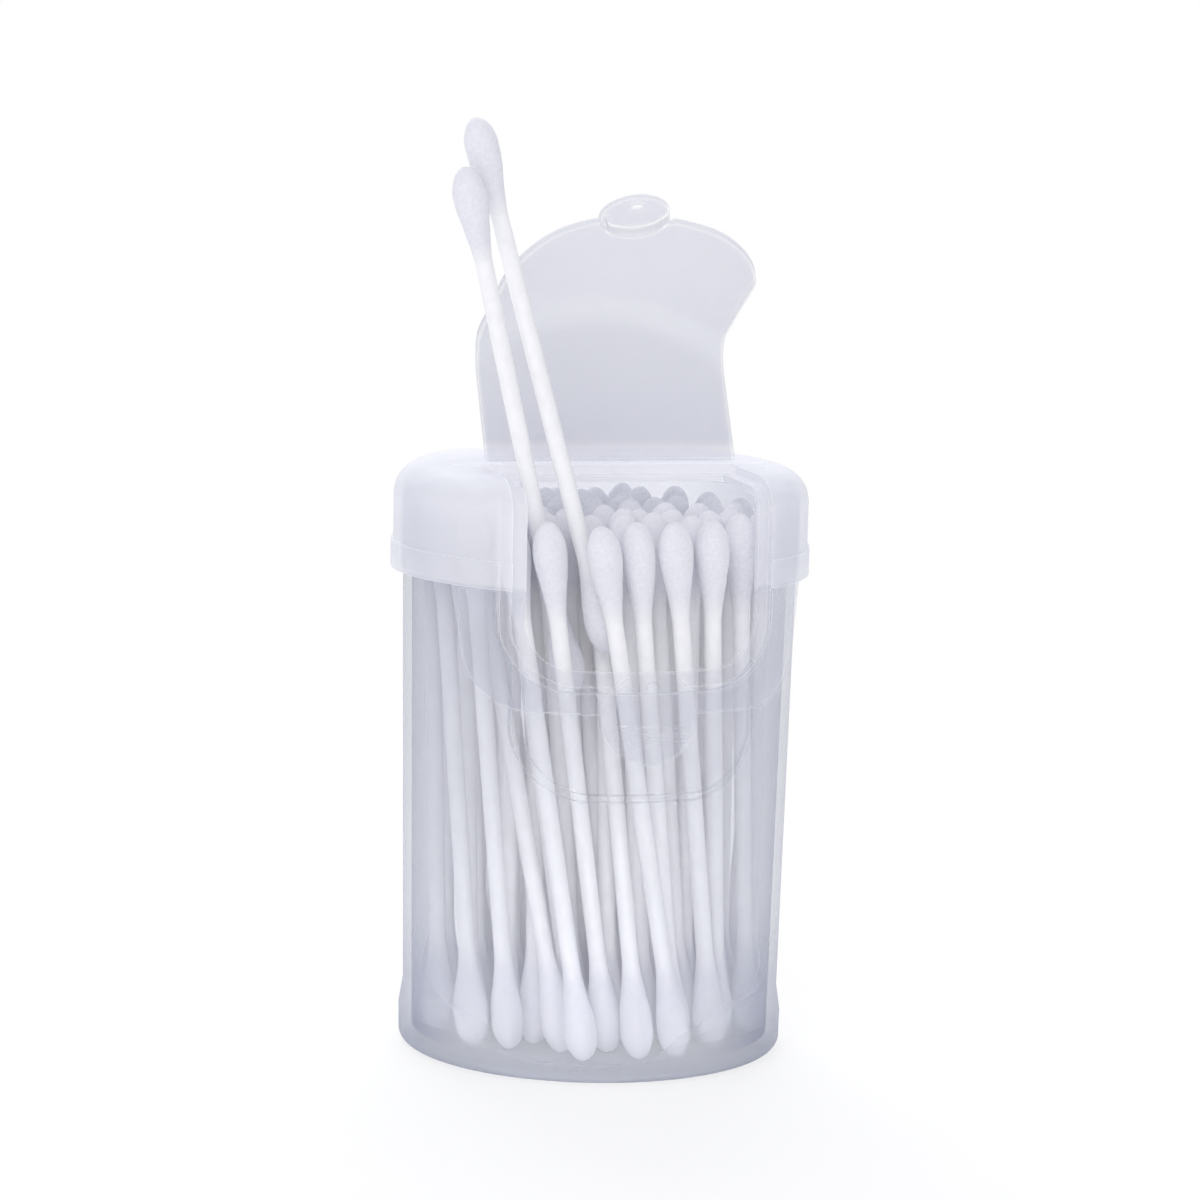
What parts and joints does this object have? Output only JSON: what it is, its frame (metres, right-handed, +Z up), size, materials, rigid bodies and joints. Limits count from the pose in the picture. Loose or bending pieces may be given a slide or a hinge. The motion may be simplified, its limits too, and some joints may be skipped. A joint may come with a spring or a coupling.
{
  "type": "cotton swab box",
  "caption": "Clear flip-top plastic box of upright cotton swabs; its hinged flap stands open over the mouth of the fixed lid and two swabs stand half out.",
  "frame": {"origin": "on the ground, on the axis of the round front wall", "axes": "+Z up, -Y to the round front with the mouth, +X to the right when the front is looked at"},
  "size_m": [0.057, 0.052, 0.1268],
  "materials": {
    "clear_plastic": "translucent frosted polypropylene, slightly glossy",
    "cotton": "wound white cotton",
    "swab_stick": "smooth white rolled paper"
  },
  "bodies": {
    "box": {"container": "clear_plastic", "front_swab_01_buds": "cotton", "front_swab_01_stick": "swab_stick", "front_swab_02_buds": "cotton", "front_swab_02_stick": "swab_stick", "front_swab_03_buds": "cotton", "front_swab_03_stick": "swab_stick", "front_swab_04_buds": "cotton", "front_swab_04_stick": "swab_stick", "front_swab_05_buds": "cotton", "front_swab_05_stick": "swab_stick", "front_swab_06_buds": "cotton", "front_swab_06_stick": "swab_stick", "front_swab_07_buds": "cotton", "front_swab_07_stick": "swab_stick", "front_swab_08_buds": "cotton", "front_swab_08_stick": "swab_stick", "front_swab_09_buds": "cotton", "front_swab_09_stick": "swab_stick", "front_swab_10_buds": "cotton", "front_swab_10_stick": "swab_stick", "front_swab_11_buds": "cotton", "front_swab_11_stick": "swab_stick", "front_swab_12_buds": "cotton", "front_swab_12_stick": "swab_stick", "front_swab_13_buds": "cotton", "front_swab_13_stick": "swab_stick", "lid": "clear_plastic", "raised_swab_second_buds": "cotton", "raised_swab_second_stick": "swab_stick", "raised_swab_tall_buds": "cotton", "raised_swab_tall_stick": "swab_stick", "swab_row_2_buds": "cotton", "swab_row_2_sticks": "swab_stick", "swab_row_3_buds": "cotton", "swab_row_3_sticks": "swab_stick", "swab_row_4_buds": "cotton", "swab_row_4_sticks": "swab_stick", "swab_row_5_buds": "cotton", "swab_row_5_sticks": "swab_stick", "swab_row_6_buds": "cotton", "swab_row_6_sticks": "swab_stick", "swab_row_7_buds": "cotton", "swab_row_7_sticks": "swab_stick", "swab_row_8_buds": "cotton", "swab_row_8_sticks": "swab_stick"},
    "flap": {"flap": "clear_plastic"}
  },
  "joints": [
    {"name": "flap_hinge", "type": "hinge", "parent": "box", "child": "flap", "pos_m": [0, -0.004, 0.0803], "axis": [-1, 0, 0], "range_deg": [-3, 55]}
  ]
}
